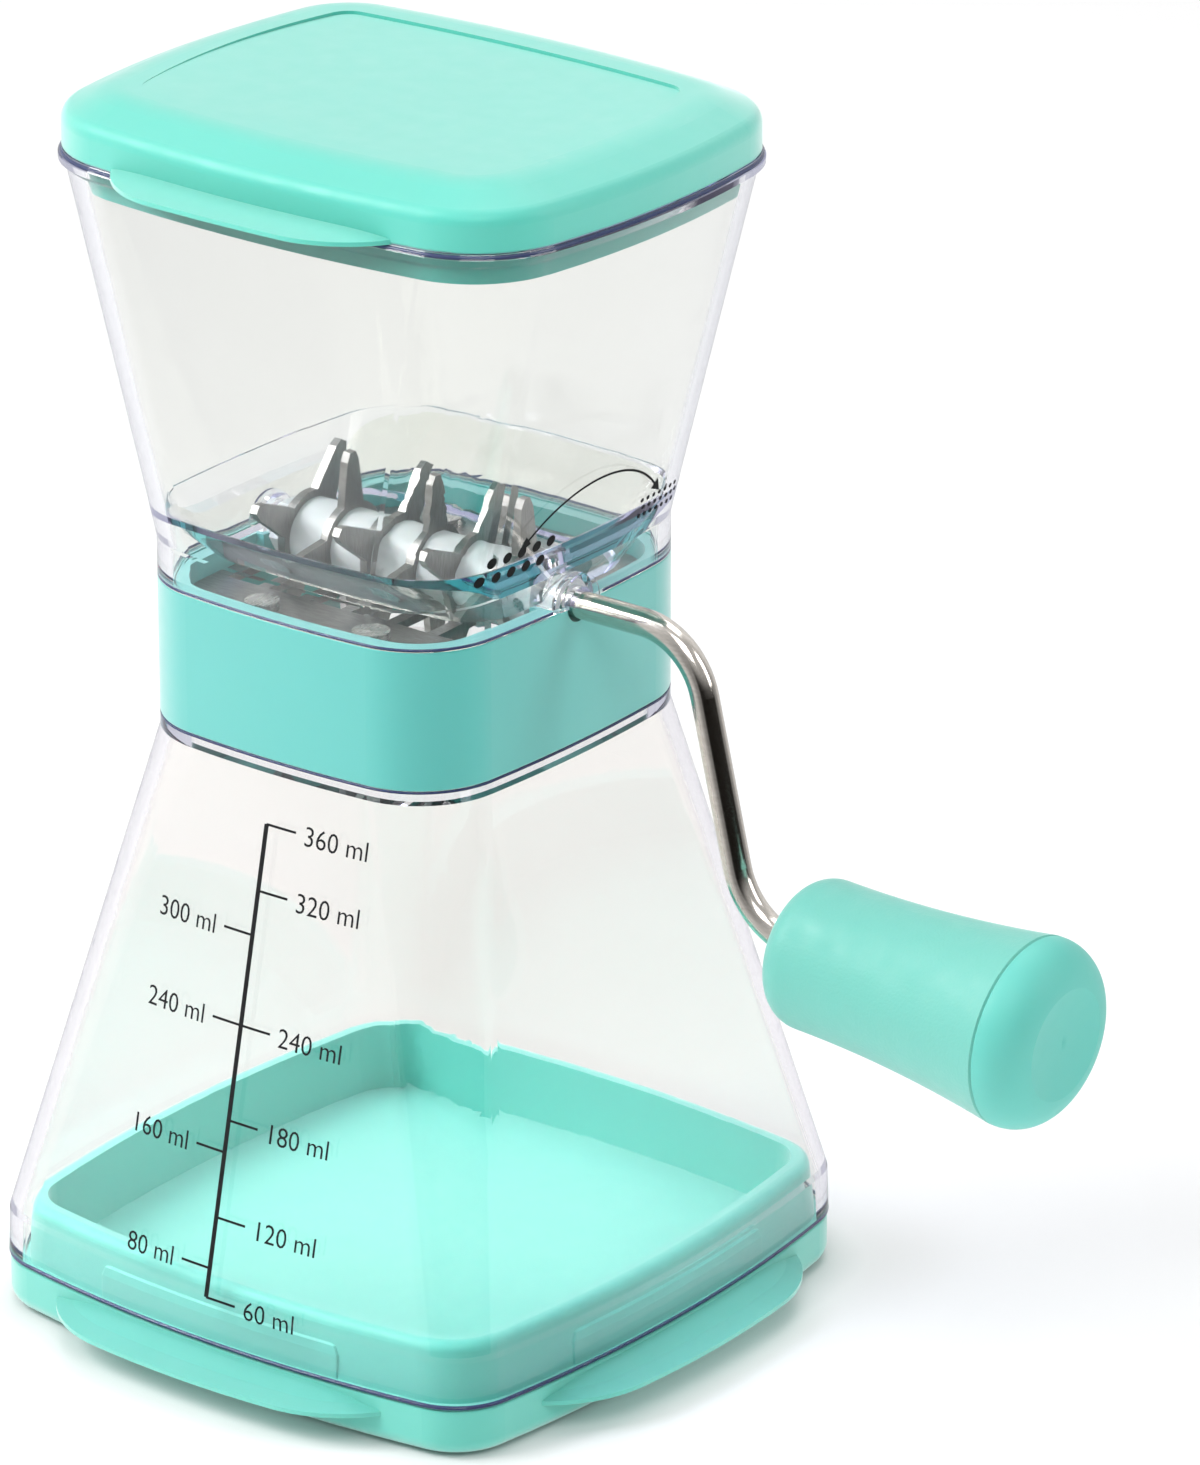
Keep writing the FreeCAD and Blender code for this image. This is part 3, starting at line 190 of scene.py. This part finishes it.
# The hopper's arc arrow for the way to turn, with coarse dots on one side and fine dots on the other
ARC_RADIUS = 19.6
ARC_TOP = 123.35
ARC_MIDDLE = 0.8
ARC_SWING = math.radians(43)
ARC_WIDTH = 0.32
ARC_STEPS = 24
ARROW_LENGTH = 2.2
ARROW_WIDTH = 1.7
ROW_TURN = math.radians(60)
Dots = namedtuple("Dots", "along up columns rows pitch radius")
COARSE_DOTS = Dots(-20.4, 114.2, 5, 2, 2.8, 0.78)
FINE_DOTS = Dots(12.0, 113.9, 7, 3, 1.35, 0.32)

# Painted shade: thin opaque dark violet rings along the rounded edges of the clear walls, where light runs
# along the wall and comes out dark. Each one has its height as a rise from the lowest or highest point of
# its node, and the hopper's foot is interrupted on the crank's side by the shaft's boss, for this far to
# each side.
SHAFT_BOSS_GAP = 5.0
ShadeEdge = namedtuple("ShadeEdge", "node body end rise radius gap", defaults=(0,))
SHADE_EDGES = {
    "jar_foot_shade": ShadeEdge("jar", "jar", min, 0.42, 0.32),
    "jar_shoulder_shade": ShadeEdge("jar", "jar", max, -5.8, 0.16),
    "hopper_foot_shade": ShadeEdge("hopper", "head", min, 0.26, 0.2, SHAFT_BOSS_GAP),
    "hopper_brim_shade": ShadeEdge("hopper", "head", max, -0.45, 0.32),
}
EDGE_OUT = 0.02 * MM
EDGE_STEPS = 360
EDGE_SIDES = 10


def keep_size(name, boxes):
    boxes[name] = [list(corner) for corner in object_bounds()]


# Node trees


class Nodes:
    """A node tree whose nodes are added and joined by short calls."""

    def __init__(self, tree):
        self.tree = tree

    def add(self, kind, **values):
        node = self.tree.nodes.new("ShaderNode" + kind)
        for name, value in values.items():
            setattr(node, name, value)
        return node

    def join(self, source, target):
        self.tree.links.new(source, target)

    def ramp(self, value, span, start, end, shape="SMOOTHSTEP"):
        """A number that runs from start to end as the value crosses the span."""
        node = self.add("MapRange", interpolation_type=shape)
        for name, number in zip(("From Min", "From Max", "To Min", "To Max"), (*span, start, end)):
            node.inputs[name].default_value = number
        self.join(value, node.inputs["Value"])
        return node.outputs["Result"]

    def combine(self, operation, first, second):
        node = self.add("Math", operation=operation)
        self.join(first, node.inputs[0])
        self.join(second, node.inputs[1])
        return node.outputs["Value"]

    def product(self, first, second):
        return self.combine("MULTIPLY", first, second)

    def total(self, first, second):
        return self.combine("ADD", first, second)

    def blend(self, factor, first, second):
        """A colour that is the first where the factor is 0 and the second where it is 1."""
        node = self.add("Mix", data_type="RGBA")
        self.join(factor, node.inputs["Factor"])
        for name, colour in (("A", first), ("B", second)):
            if isinstance(colour, tuple):
                node.inputs[name].default_value = (*colour, 1)
            else:
                self.join(colour, node.inputs[name])
        return node.outputs["Result"]


class Surface(Nodes):
    """A new material."""

    def __init__(self, name):
        self.material = bpy.data.materials.new(name)
        self.material.use_nodes = True
        super().__init__(self.material.node_tree)
        self.shader = self.tree.nodes["Principled BSDF"]
        self.output = self.tree.nodes["Material Output"]

    def set(self, name, value):
        self.shader.inputs[name].default_value = value

    def paint(self, name, source):
        self.join(source, self.shader.inputs[name])

    def noise(self, scale, detail, stretch=(1, 1, 1)):
        mapping = self.add("Mapping")
        mapping.inputs["Scale"].default_value = stretch
        self.join(self.add("TexCoord").outputs["Object"], mapping.inputs["Vector"])
        noise = self.add("TexNoise")
        noise.inputs["Scale"].default_value = scale
        noise.inputs["Detail"].default_value = detail
        self.join(mapping.outputs["Vector"], noise.inputs["Vector"])
        return noise.outputs["Fac"]

    def spread(self, noise, low, high):
        return self.ramp(noise, NOISE_SPAN, low, high, "LINEAR")

    def drift(self, noise, first, second):
        """Paint two colours that drift into each other with the noise."""
        self.paint("Base Color", self.blend(self.spread(noise, 0, 1), first, second))

    def either(self, factor, first, second):
        """A shader that is the first where the factor is 0 and the second where it is 1."""
        node = self.add("MixShader")
        self.join(factor, node.inputs["Fac"])
        self.join(first, node.inputs[1])
        self.join(second, node.inputs[2])
        return node.outputs["Shader"]

    def bump(self, height, strength, distance):
        node = self.add("Bump")
        node.inputs["Strength"].default_value = strength
        node.inputs["Distance"].default_value = distance
        self.join(height, node.inputs["Height"])
        self.paint("Normal", node.outputs["Normal"])


# Camera, floor and light


def make_camera():
    sin_a, cos_a = math.sin(CAMERA_AZIMUTH), math.cos(CAMERA_AZIMUTH)
    sin_e, cos_e = math.sin(CAMERA_ELEVATION), math.cos(CAMERA_ELEVATION)
    back = Vector((sin_a * cos_e, -cos_a * cos_e, sin_e))
    right = Vector((cos_a, sin_a, 0.0))
    up = back.cross(right)
    target = Vector((TARGET_RIGHT * cos_a, TARGET_RIGHT * sin_a, TARGET_HEIGHT))
    data = bpy.data.cameras.new("camera")
    data.sensor_width = CAMERA_SENSOR
    data.lens = CAMERA_FOCAL_PIXELS * CAMERA_SENSOR / max(IMAGE_WIDTH, IMAGE_HEIGHT)
    data.clip_end = CAMERA_REACH
    camera = bpy.data.objects.new("camera", data)
    bpy.context.collection.objects.link(camera)
    turn = Matrix((right, up, back)).transposed().to_4x4()
    camera.matrix_world = Matrix.Translation(target + back * CAMERA_DISTANCE) @ turn
    bpy.context.scene.camera = camera


def make_floor():
    bpy.ops.mesh.primitive_plane_add(size=FLOOR_SIZE, location=(0, 0, 0))
    floor = bpy.context.object
    floor.name = "floor"
    surface = Surface("floor_white")
    surface.set("Base Color", (*FLOOR_COLOUR, 1))
    surface.set("Roughness", FLOOR_ROUGHNESS)
    surface.set("Specular IOR Level", FLOOR_GLOSS)
    surface.set("Emission Color", (1, 1, 1, 1))
    on_matte = surface.add("LightPath").outputs["Is Diffuse Ray"]
    glow = surface.ramp(on_matte, (0, 1), FLOOR_GLOW, FLOOR_BOUNCE, "LINEAR")
    # Painted contact shadow: ambient occlusion dims the floor's glow next to what stands on it
    contact_shade = surface.add("AmbientOcclusion", samples=CONTACT_SHADE_SAMPLES)
    contact_shade.inputs["Distance"].default_value = CONTACT_SHADE_REACH
    surface.paint("Emission Strength", surface.product(glow, contact_shade.outputs["AO"]))
    floor.data.materials.append(surface.material)
    floor.visible_glossy = False
    floor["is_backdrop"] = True


def make_world():
    """A pale room that darkens towards the unlit side where the photographer stands."""
    world = bpy.data.worlds.new("studio")
    bpy.context.scene.world = world
    world.use_nodes = True
    nodes = Nodes(world.node_tree)
    place = nodes.add("TexCoord").outputs["Generated"]
    split = nodes.add("SeparateXYZ")
    nodes.join(place, split.inputs["Vector"])
    up = split.outputs["Z"]
    front = nodes.add("VectorMath", operation="DOT_PRODUCT")
    front.inputs[1].default_value = DARK_SIDE
    nodes.join(place, front.inputs[0])
    facing = front.outputs["Value"]
    ray = nodes.add("LightPath")
    on_matte = ray.outputs["Is Diffuse Ray"]
    depth = ray.outputs["Transmission Depth"]
    through = nodes.ramp(depth, (0, 1), 0, 1)
    mirrored = nodes.ramp(depth, (0, 1), 1, 0)
    sharp = nodes.ramp(on_matte, (0, 1), 1, 0)
    steel_side = nodes.product(nodes.ramp(facing, STEEL_TURN, 0, 1), nodes.ramp(up, STEEL_RISE, 1, 0))
    plastic_side = nodes.product(nodes.ramp(facing, PLASTIC_TURN, 0, 1), nodes.ramp(up, PLASTIC_RISE, 1, 0))
    dark = nodes.total(nodes.product(steel_side, mirrored), nodes.product(plastic_side, through))
    shade = nodes.blend(through, DARK_IN_STEEL, DARK_IN_PLASTIC)
    colour = nodes.blend(nodes.product(dark, sharp), (1, 1, 1), shade)
    rise = nodes.ramp(up, ROOM_RISE, ROOM_LOW, ROOM_HIGH)
    lit = nodes.total(rise, nodes.ramp(facing, ROOM_TURN, 0, ROOM_BACK))
    share = nodes.ramp(on_matte, (0, 1), 1, ROOM_ON_MATTE)
    background = nodes.tree.nodes["Background"]
    nodes.join(colour, background.inputs["Color"])
    nodes.join(nodes.product(lit, share), background.inputs["Strength"])


def make_lamp(name, lamp):
    data = bpy.data.lights.new(name, "AREA")
    data.shape = "RECTANGLE"
    data.size = lamp.width
    data.size_y = lamp.height
    data.energy = lamp.power
    light = bpy.data.objects.new(name, data)
    bpy.context.collection.objects.link(light)
    light.location = lamp.place
    aim = Vector((0, 0, lamp.aim)) - Vector(lamp.place)
    light.rotation_euler = aim.to_track_quat("-Z", "Y").to_euler()


def make_light():
    make_world()
    for name, lamp in LAMPS.items():
        make_lamp(name, lamp)
    bpy.context.scene.view_settings.view_transform = "Standard"


# Materials


def moulded_plastic(name, plastic):
    """Opaque plastic: faint colour drift, a fine moulded grain and uneven gloss."""
    surface = Surface(name)
    surface.drift(surface.noise(28.0, 2.0), plastic.colour, plastic.deep)
    surface.paint("Roughness", surface.spread(surface.noise(260.0, 4.0), *plastic.roughness))
    surface.bump(surface.noise(2400.0, 2.0), plastic.grain, PLASTIC_GRAIN_DEPTH)
    surface.set("IOR", PLASTIC_IOR)
    surface.set("Sheen Weight", plastic.sheen)
    surface.set("Sheen Roughness", PLASTIC_SHEEN_ROUGHNESS)
    surface.set("Subsurface Weight", PLASTIC_SHINE_THROUGH)
    surface.set("Subsurface Scale", PLASTIC_SHINE_DEPTH)
    return surface.material


def clear_plastic(name, tint):
    """Polished clear plastic, violet where light runs far inside it, as along its edges.

    Lamps reach what is inside it, as they do through the real thin wall.
    """
    surface = Surface(name)
    surface.set("Base Color", (*tint, 1))
    surface.set("Transmission Weight", 1.0)
    surface.set("IOR", CLEAR_IOR)
    surface.paint("Roughness", surface.spread(surface.noise(90.0, 3.0), *CLEAR_ROUGHNESS))
    ray = surface.add("LightPath")
    caught = surface.add("Math", operation="GREATER_THAN")
    caught.inputs[1].default_value = MIRRORINGS
    surface.join(ray.outputs["Glossy Depth"], caught.inputs[0])
    way_out = surface.add("BsdfTransparent").outputs["BSDF"]
    glass = surface.either(caught.outputs["Value"], surface.shader.outputs["BSDF"], way_out)
    film = surface.add("BsdfTransparent")
    film.inputs["Color"].default_value = (*CLEAR_FILM, 1)
    whole = surface.either(ray.outputs["Is Shadow Ray"], glass, film.outputs["BSDF"])
    surface.join(whole, surface.output.inputs["Surface"])
    depth = surface.add("VolumeAbsorption")
    depth.inputs["Color"].default_value = (*CLEAR_DEPTH_COLOUR, 1)
    depth.inputs["Density"].default_value = CLEAR_DEPTH_DENSITY
    surface.join(depth.outputs["Volume"], surface.output.inputs["Volume"])
    return surface.material


def lined_steel(name, steel):
    """Stamped or drawn steel with fine lines along one axis."""
    surface = Surface(name)
    lines = surface.noise(600.0, 3.0, steel.lines)
    surface.drift(lines, steel.colour, steel.deep)
    surface.paint("Roughness", surface.spread(lines, *steel.roughness))
    surface.bump(lines, STEEL_LINE_STRENGTH, STEEL_LINE_DEPTH)
    surface.set("Metallic", 1.0)
    return surface.material


def printing_ink(name):
    surface = Surface(name)
    surface.drift(surface.noise(900.0, 3.0), INK_COLOUR, INK_WORN_COLOUR)
    surface.set("Roughness", INK_ROUGHNESS)
    surface.set("Specular IOR Level", INK_GLOSS)
    return surface.material


def make_materials():
    materials = {"printing_ink": printing_ink("printing_ink")}
    for table, make in ((PLASTICS, moulded_plastic), (CLEAR_PLASTICS, clear_plastic), (STEELS, lined_steel)):
        materials.update({name: make(name, look) for name, look in table.items()})
    return materials


# Meshes


def surface_of(node):
    """A node's surface, to be met by rays."""
    mesh = node.data
    return BVHTree.FromPolygons([v.co for v in mesh.vertices], [tuple(p.vertices) for p in mesh.polygons])


def add_piece(name, bm, material, body):
    """A new object from the mesh, which moves with the body."""
    bmesh.ops.recalc_face_normals(bm, faces=bm.faces)
    mesh = bpy.data.meshes.new(name)
    bm.to_mesh(mesh)
    bm.free()
    mesh.materials.append(material)
    piece = bpy.data.objects.new(name, mesh)
    bpy.context.collection.objects.link(piece)
    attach(piece, body)


def join_rings(bm, rings, smooth):
    """Faces between each ring of vertices and the next."""
    for first, second in zip(rings, rings[1:]):
        for i in range(len(first)):
            j = (i + 1) % len(first)
            bm.faces.new((first[i], first[j], second[j], second[i])).smooth = smooth


# Printed marks


class Print:
    """Flat marks drawn on a plane and laid on a node's face as a thin skin of ink.

    A point is (along, up). The node is met from a metre outside, looking along -sight.
    """

    def __init__(self, node, along, sight):
        self.surface = surface_of(node)
        self.along = Vector(along)
        self.sight = Vector(sight)
        self.bm = bmesh.new()

    def lay(self, point, lift):
        start = self.along * point[0] + Vector((0, 0, point[1])) + self.sight
        place, normal, _, _ = self.surface.ray_cast(start, -self.sight)
        return place + normal * lift

    def patch(self, corners):
        """A plate of ink between corners that run round it once, seen from outside."""
        low = [self.bm.verts.new(self.lay(c, INK_GAP)) for c in corners]
        high = [self.bm.verts.new(self.lay(c, INK_GAP + INK_THICKNESS)) for c in corners]
        join_rings(self.bm, [low, high], smooth=False)
        self.bm.faces.new(high)
        self.bm.faces.new(low[::-1])

    def ribbon(self, points, width):
        """A line of ink of one width along points that lie close together."""
        rings = []
        for i, point in enumerate(points):
            ahead = (points[min(i + 1, len(points) - 1)] - points[max(i - 1, 0)]).normalized()
            across = Vector((-ahead.y, ahead.x)) * width / 2
            left, right = point + across, point - across
            ring = [self.lay(right, INK_GAP), self.lay(left, INK_GAP)]
            ring += [self.lay(left, INK_GAP + INK_THICKNESS), self.lay(right, INK_GAP + INK_THICKNESS)]
            rings.append([self.bm.verts.new(place) for place in ring])
        join_rings(self.bm, rings, smooth=False)
        self.bm.faces.new(rings[0][::-1])
        self.bm.faces.new(rings[-1])

    def line(self, start, end, width):
        start, end = Vector(start), Vector(end)
        steps = max(1, round((end - start).length / INK_STEP))
        self.ribbon([start.lerp(end, i / steps) for i in range(steps + 1)], width)

    def dot(self, middle, radius):
        turns = [math.tau * i / DOT_SIDES for i in range(DOT_SIDES)]
        self.patch([(middle[0] + radius * math.cos(t), middle[1] + radius * math.sin(t)) for t in turns])

    def words(self, text, place, height, align):
        """Plain figures, as high as the given height and centred on the place's own height."""
        curve = bpy.data.curves.new("figures", "FONT")
        curve.body = text
        curve.size = height / FIGURE_HEIGHT
        curve.align_x = align
        curve.offset = -FIGURE_THINNING * curve.size
        curve.extrude = 0.5
        curve.resolution_u = FIGURE_CURVE_STEPS
        source = bpy.data.objects.new("figures", curve)
        mesh = bpy.data.meshes.new_from_object(source)
        verts = []
        for v in mesh.vertices:
            point = (place[0] + v.co.x, place[1] + v.co.y - height / 2)
            lift = INK_GAP + INK_THICKNESS if v.co.z > 0 else INK_GAP
            verts.append(self.bm.verts.new(self.lay(point, lift)))
        for face in mesh.polygons:
            self.bm.faces.new([verts[i] for i in face.vertices])
        bpy.data.objects.remove(source)
        bpy.data.meshes.remove(mesh)

    def finish(self, name, material, body):
        bmesh.ops.remove_doubles(self.bm, verts=self.bm.verts, dist=INK_WELD)
        add_piece(name, self.bm, material, body)


def print_scale(frame, material):
    ink = Print(frame["nodes"]["jar"], (1, 0, 0), (0, -1, 0))
    ink.line((0, SCALE_FOOT * MM), (0, SCALE_TOP * MM), SCALE_SPINE_WIDTH * MM)
    for side, marks, align in ((1, SCALE_RIGHT, "LEFT"), (-1, SCALE_LEFT, "RIGHT")):
        for amount, height in marks.items():
            reach = side * SCALE_TICK_REACH * MM
            ink.line((0, height * MM), (reach, height * MM), SCALE_TICK_WIDTH * MM)
            place = (reach + side * SCALE_LABEL_GAP * MM, height * MM)
            ink.words(f"{amount} ml", place, SCALE_LABEL_HEIGHT * MM, align)
    ink.finish("jar_scale", material, "jar")


def print_arrow(ink):
    middle = Vector((ARC_MIDDLE, ARC_TOP - ARC_RADIUS)) * MM
    radius = ARC_RADIUS * MM
    turns = [ARC_SWING * (2 * i / ARC_STEPS - 1) for i in range(ARC_STEPS + 1)]
    ink.ribbon([middle + radius * Vector((math.sin(t), math.cos(t))) for t in turns], ARC_WIDTH * MM)
    for side in (1, -1):
        turn = side * ARC_SWING
        foot = middle + radius * Vector((math.sin(turn), math.cos(turn)))
        ahead = side * Vector((math.cos(turn), -math.sin(turn)))
        across = Vector((-ahead.y, ahead.x)) * ARROW_WIDTH * MM / 2
        ink.patch([foot + ahead * ARROW_LENGTH * MM, foot + across, foot - across])


def print_dots(ink, dots):
    for row in range(dots.rows):
        for column in range(dots.columns):
            shift = 0.5 if row % 2 else 0.0
            along = dots.along + (column + shift) * dots.pitch
            up = dots.up + row * dots.pitch * math.sin(ROW_TURN)
            ink.dot((along * MM, up * MM), dots.radius * MM)


def print_hopper(frame, material):
    ink = Print(frame["nodes"]["hopper"], (0, 1, 0), (1, 0, 0))
    print_arrow(ink)
    print_dots(ink, COARSE_DOTS)
    print_dots(ink, FINE_DOTS)
    ink.finish("hopper_marks", material, "head")


# Painted shade along the edges of the clear walls


def edge_ring(place, outward, radius):
    """A round ring of points that touches the wall's surface from inside."""
    middle = place + outward * (EDGE_OUT - radius)
    turns = [math.tau * side / EDGE_SIDES for side in range(EDGE_SIDES)]
    return [middle + radius * (outward * math.cos(t) + Vector((0, 0, math.sin(t)))) for t in turns]


def make_shade_edge(frame, name, edge, material):
    """A thin dark ring of painted shade along a clear wall at one height, but for its gap on the crank's
    side.
    """
    node = frame["nodes"][edge.node]
    wall = surface_of(node)
    height = edge.end(v.co.z for v in node.data.vertices) + edge.rise * MM
    bm = bmesh.new()
    rings = []
    for step in range(EDGE_STEPS):
        turn = math.tau * step / EDGE_STEPS
        sight = Vector((math.cos(turn), math.sin(turn), 0))
        place, normal, _, _ = wall.ray_cast(sight + Vector((0, 0, height)), -sight)
        outward = Vector((normal.x, normal.y, 0)).normalized()
        if sight.x < 0 or abs(place.y) >= edge.gap * MM:
            rings.append([bm.verts.new(point) for point in edge_ring(place, outward, edge.radius * MM)])
    if edge.gap:
        bm.faces.new(rings[0])
        bm.faces.new(rings[-1])
    else:
        rings.append(rings[0])
    join_rings(bm, rings, smooth=True)
    add_piece(name, bm, material, edge.body)


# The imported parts


def dress_nodes(frame, materials):
    slots = {part["node"]: part["material_slot"] for part in frame["record"]["subparts"]}
    for name, node in frame["nodes"].items():
        material = materials[OWN_FINISHES.get(name, slots[name])]
        for slot in node.material_slots:
            slot.material = material


def main():
    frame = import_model()
    boxes = {}
    keep_size("cad", boxes)
    make_camera()
    make_floor()
    make_light()
    materials = make_materials()
    dress_nodes(frame, materials)
    print_scale(frame, materials["printing_ink"])
    print_hopper(frame, materials["printing_ink"])
    # Painted shade: thin dark rings along the edges of the clear walls
    for name, edge in SHADE_EDGES.items():
        make_shade_edge(frame, name, edge, materials["painted_edge_shade"])
    keep_size("visual", boxes)


main()
